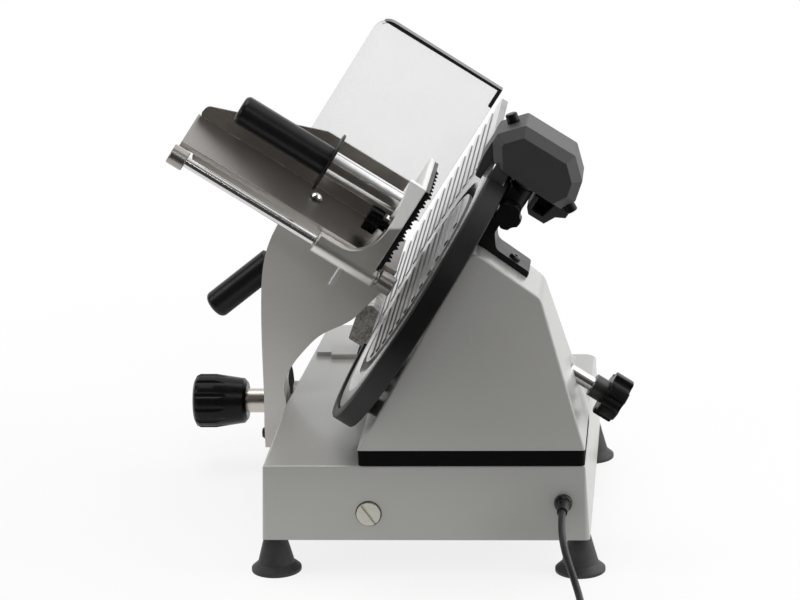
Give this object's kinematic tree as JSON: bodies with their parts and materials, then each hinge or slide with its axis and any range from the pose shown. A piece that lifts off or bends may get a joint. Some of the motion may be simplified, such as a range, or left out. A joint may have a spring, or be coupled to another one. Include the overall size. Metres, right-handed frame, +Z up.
{
  "type": "food slicer",
  "caption": "Gravity-feed food slicer with a tilted round blade, sliding tray carriage with pusher, thickness dial, gauge plate and built-in sharpener.",
  "frame": {"origin": "bottom centre of the object's box without its mains cord, on the worktop under the feet", "axes": "+X from the operator's side towards the motor, +Y along the carriage stroke away from the cord end, +Z up"},
  "size_m": [0.4044, 0.6225, 0.4124],
  "materials": {
    "cast_silver": "satin silver-grey paint on a casting",
    "raw_casting": "bead-blasted bare casting",
    "turned_aluminium": "bright ridged anodised",
    "blade_steel": "polished with a ground edge",
    "tray_steel": "brushed stainless sheet",
    "bright_steel": "polished",
    "dark_steel": "zinc plated",
    "bronze": "turned",
    "rubber_black": "matt",
    "cord_black": "satin sheath",
    "plastic_black": "fine moulded grain",
    "plastic_charcoal": "fine moulded grain",
    "clear_acrylic": "clear with polished edges",
    "button_green": "gloss",
    "button_red": "gloss",
    "motor_iron": "varnished laminations and cast ends",
    "can_white": "plastic can",
    "grit_grey": "bonded abrasive",
    "grit_white": "fine bonded abrasive"
  },
  "bodies": {
    "frame": {"base": "cast_silver", "feet": "rubber_black", "bottom_plate": "dark_steel", "guide_rod": "bright_steel", "guide_rod_caps": "bright_steel", "support_rail": "dark_steel", "body_gasket": "rubber_black", "motor_body": "cast_silver", "motor": "motor_iron", "capacitor": "can_white", "drive_belt": "rubber_black", "blade_bearings": "bright_steel", "ring_guard": "plastic_black", "blade_cover": "turned_aluminium", "sharpener_bracket": "plastic_black", "gauge_cradle": "dark_steel", "switch_panel": "plastic_black", "cord_gland": "rubber_black", "cord": "cord_black", "cord_coil": "cord_black", "cord_tie": "plastic_black", "plug": "cord_black"},
    "carriage": {"carriage_arm": "cast_silver", "carriage_slider": "raw_casting", "guide_bushes": "bronze", "slide_shoe": "can_white", "carriage_handle": "plastic_black", "tray": "tray_steel", "tray_screw": "bright_steel", "clear_guard": "clear_acrylic", "pusher_rod": "bright_steel", "rod_collars": "bright_steel"},
    "pusher_slide_body": {"pusher_liner": "bright_steel"},
    "pusher": {"pusher_bracket": "raw_casting", "stop_pin": "bright_steel", "grip_tube": "bright_steel", "hand_guard": "plastic_black", "pusher_grip": "plastic_black", "toothed_plate": "plastic_black"},
    "plate_clamp": {"plate_knob": "plastic_black"},
    "blade_unit": {"blade": "blade_steel", "blade_shaft": "dark_steel"},
    "motor_rotor": {"motor_shaft": "dark_steel"},
    "tie": {"tie_rod": "bright_steel", "tie_rod_knob": "plastic_black"},
    "dial": {"dial_shaft": "bright_steel", "dial_cam": "dark_steel", "dial_scale": "plastic_black", "dial_knob": "plastic_black"},
    "gauge": {"gauge_plate": "turned_aluminium", "gauge_support": "raw_casting"},
    "sharpener": {"sharpener_housing": "plastic_charcoal", "sharpener_post": "bright_steel"},
    "grinding_wheel": {"grinding_stone": "grit_grey"},
    "truing_wheel": {"truing_stone": "grit_white"},
    "grind_push": {"grind_button": "plastic_black"},
    "truing_push": {"truing_button": "plastic_black"},
    "sharpener_clamp": {"sharpener_knob": "plastic_black"},
    "start_push": {"start_button": "button_green"},
    "stop_push": {"stop_button": "button_red"}
  },
  "joints": [
    {"name": "carriage_slide", "type": "slide", "parent": "frame", "child": "carriage", "axis": [0, 1, 0], "range_m": [-0.185, 0.014]},
    {"name": "pusher_slide", "type": "slide", "parent": "carriage", "child": "pusher_slide_body", "axis": [-0.8374, 0, 0.5465], "range_m": [0, 0.125]},
    {"name": "pusher_swing", "type": "hinge", "parent": "pusher_slide_body", "child": "pusher", "pos_m": [-0.04295, -0.0113, 0.22805], "axis": [0.8374, 0, -0.5465], "range_deg": [0, 95]},
    {"name": "plate_clamp_turn", "type": "hinge", "parent": "pusher", "child": "plate_clamp", "pos_m": [-0.02121, 0.0527, 0.24491], "axis": [-0.8374, 0, 0.5465], "range_deg": [0, 360]},
    {"name": "blade_spin", "type": "hinge", "parent": "frame", "child": "blade_unit", "pos_m": [0.02187, -0.0872, 0.2359], "axis": [-0.8374, 0, 0.5465], "continuous": true},
    {"name": "motor_spin", "type": "hinge", "parent": "frame", "child": "motor_rotor", "pos_m": [-0.01201, -0.0872, 0.18398], "axis": [-0.8374, 0, 0.5465], "continuous": true},
    {"name": "tie_rod_turn", "type": "hinge", "parent": "frame", "child": "tie", "pos_m": [0.17261, -0.0872, 0.13752], "axis": [-0.8374, 0, 0.5465], "range_deg": [0, 360]},
    {"name": "dial_turn", "type": "hinge", "parent": "frame", "child": "dial", "pos_m": [-0.10673, 0.1057, 0.0623], "axis": [1, 0, 0], "range_deg": [0, 330]},
    {"name": "gauge_slide", "type": "slide", "parent": "frame", "child": "gauge", "axis": [0.8374, 0, -0.5465], "range_m": [0, 0.012]},
    {"name": "sharpener_lift", "type": "slide", "parent": "frame", "child": "sharpener", "axis": [0.5465, 0, 0.8374], "range_m": [0, 0.025]},
    {"name": "grinding_spin", "type": "hinge", "parent": "sharpener", "child": "grinding_wheel", "pos_m": [0.10458, -0.1213, 0.34433], "axis": [-0.8374, 0, 0.5465], "continuous": true},
    {"name": "truing_spin", "type": "hinge", "parent": "sharpener", "child": "truing_wheel", "pos_m": [0.088, -0.1163, 0.33723], "axis": [-0.8374, 0, 0.5465], "continuous": true},
    {"name": "grind_button_press", "type": "slide", "parent": "sharpener", "child": "grind_push", "axis": [0.278, 0, -0.9606], "range_m": [0, 0.004], "stiffness_N_per_m": 300},
    {"name": "truing_button_press", "type": "slide", "parent": "sharpener", "child": "truing_push", "axis": [-0.448, 0, 0.894], "range_m": [0, 0.004], "stiffness_N_per_m": 300},
    {"name": "sharpener_clamp_turn", "type": "hinge", "parent": "frame", "child": "sharpener_clamp", "pos_m": [0.10384, -0.1493, 0.3066], "axis": [0, -1, 0], "range_deg": [0, 360]},
    {"name": "start_press", "type": "slide", "parent": "frame", "child": "start_push", "axis": [1, 0, 0], "range_m": [0, 0.0025], "stiffness_N_per_m": 600},
    {"name": "stop_press", "type": "slide", "parent": "frame", "child": "stop_push", "axis": [1, 0, 0], "range_m": [0, 0.0025], "stiffness_N_per_m": 600}
  ],
  "couplings": [
    {"joint": "motor_spin", "follows": "blade_spin", "ratio": 2.1818},
    {"joint": "dial_turn", "follows": "gauge_slide", "rad_per_m": 479.97}
  ]
}
